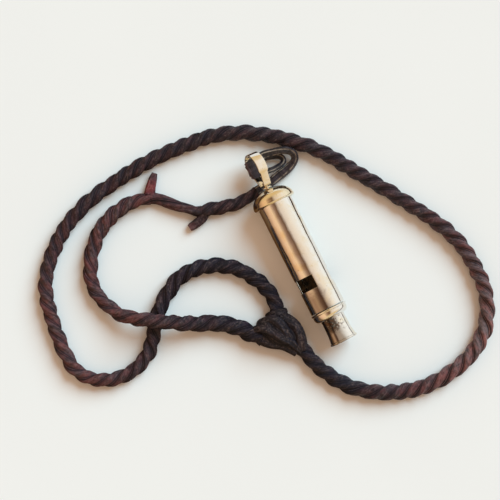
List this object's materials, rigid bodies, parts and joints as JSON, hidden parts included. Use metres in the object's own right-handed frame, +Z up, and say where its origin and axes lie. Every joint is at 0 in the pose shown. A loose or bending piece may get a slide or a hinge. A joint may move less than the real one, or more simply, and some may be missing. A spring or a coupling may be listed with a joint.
{
  "type": "dog training whistle",
  "caption": "Metal tube whistle with two side windows, an oval mouthpiece and a swivelling strap loop, tied to a twisted leather lanyard.",
  "frame": {"origin": "on the ground under the whistle's axis, halfway between the mouthpiece's lip and the far side of the loop's eye", "axes": "+Y along the whistle towards its lanyard loop, +Z up from the ground it lies on, +X to the right seen from above with the loop away from the viewer"},
  "size_m": [0.169, 0.1371, 0.0178],
  "materials": {
    "plated_brass": "polished nickel plate on brass, warm where the plate has worn",
    "dull_brass": "unpolished brass, tarnished",
    "leather": "worn dark brown leather, satin",
    "red_leather": "worn leather, reddish where the surface is torn"
  },
  "bodies": {
    "lanyard": {"strap_end": "leather", "outer_thong": "leather", "inner_thong": "leather", "whistle_cord": "leather", "joining_thong": "leather", "lower_thong_tip": "leather", "upper_thong_tip": "red_leather", "tail_cord": "leather", "sliding_knot": "leather", "neck_cord": "leather"},
    "loop": {"loop_band": "plated_brass", "loop_rivet": "plated_brass", "rivet_washer": "dull_brass"},
    "whistle": {"barrel": "plated_brass", "top_cap": "plated_brass", "cap_collar": "plated_brass", "mouth_cap": "plated_brass", "mouthpiece": "plated_brass", "divider_plate": "dull_brass", "windway_block_left": "dull_brass", "windway_block_right": "dull_brass", "short_chamber_stop": "dull_brass", "long_chamber_stop": "dull_brass"}
  },
  "joints": [
    {"name": "loop_swing", "type": "hinge", "parent": "lanyard", "child": "loop", "pos_m": [0, 0.03599, 0.00931], "axis": [-0.9511, 0, 0.309], "range_deg": [0, 100]},
    {"name": "loop_swivel", "type": "hinge", "parent": "loop", "child": "whistle", "pos_m": [0, 0, 0.00835], "axis": [0, 0.9996, 0.0266], "continuous": true}
  ]
}
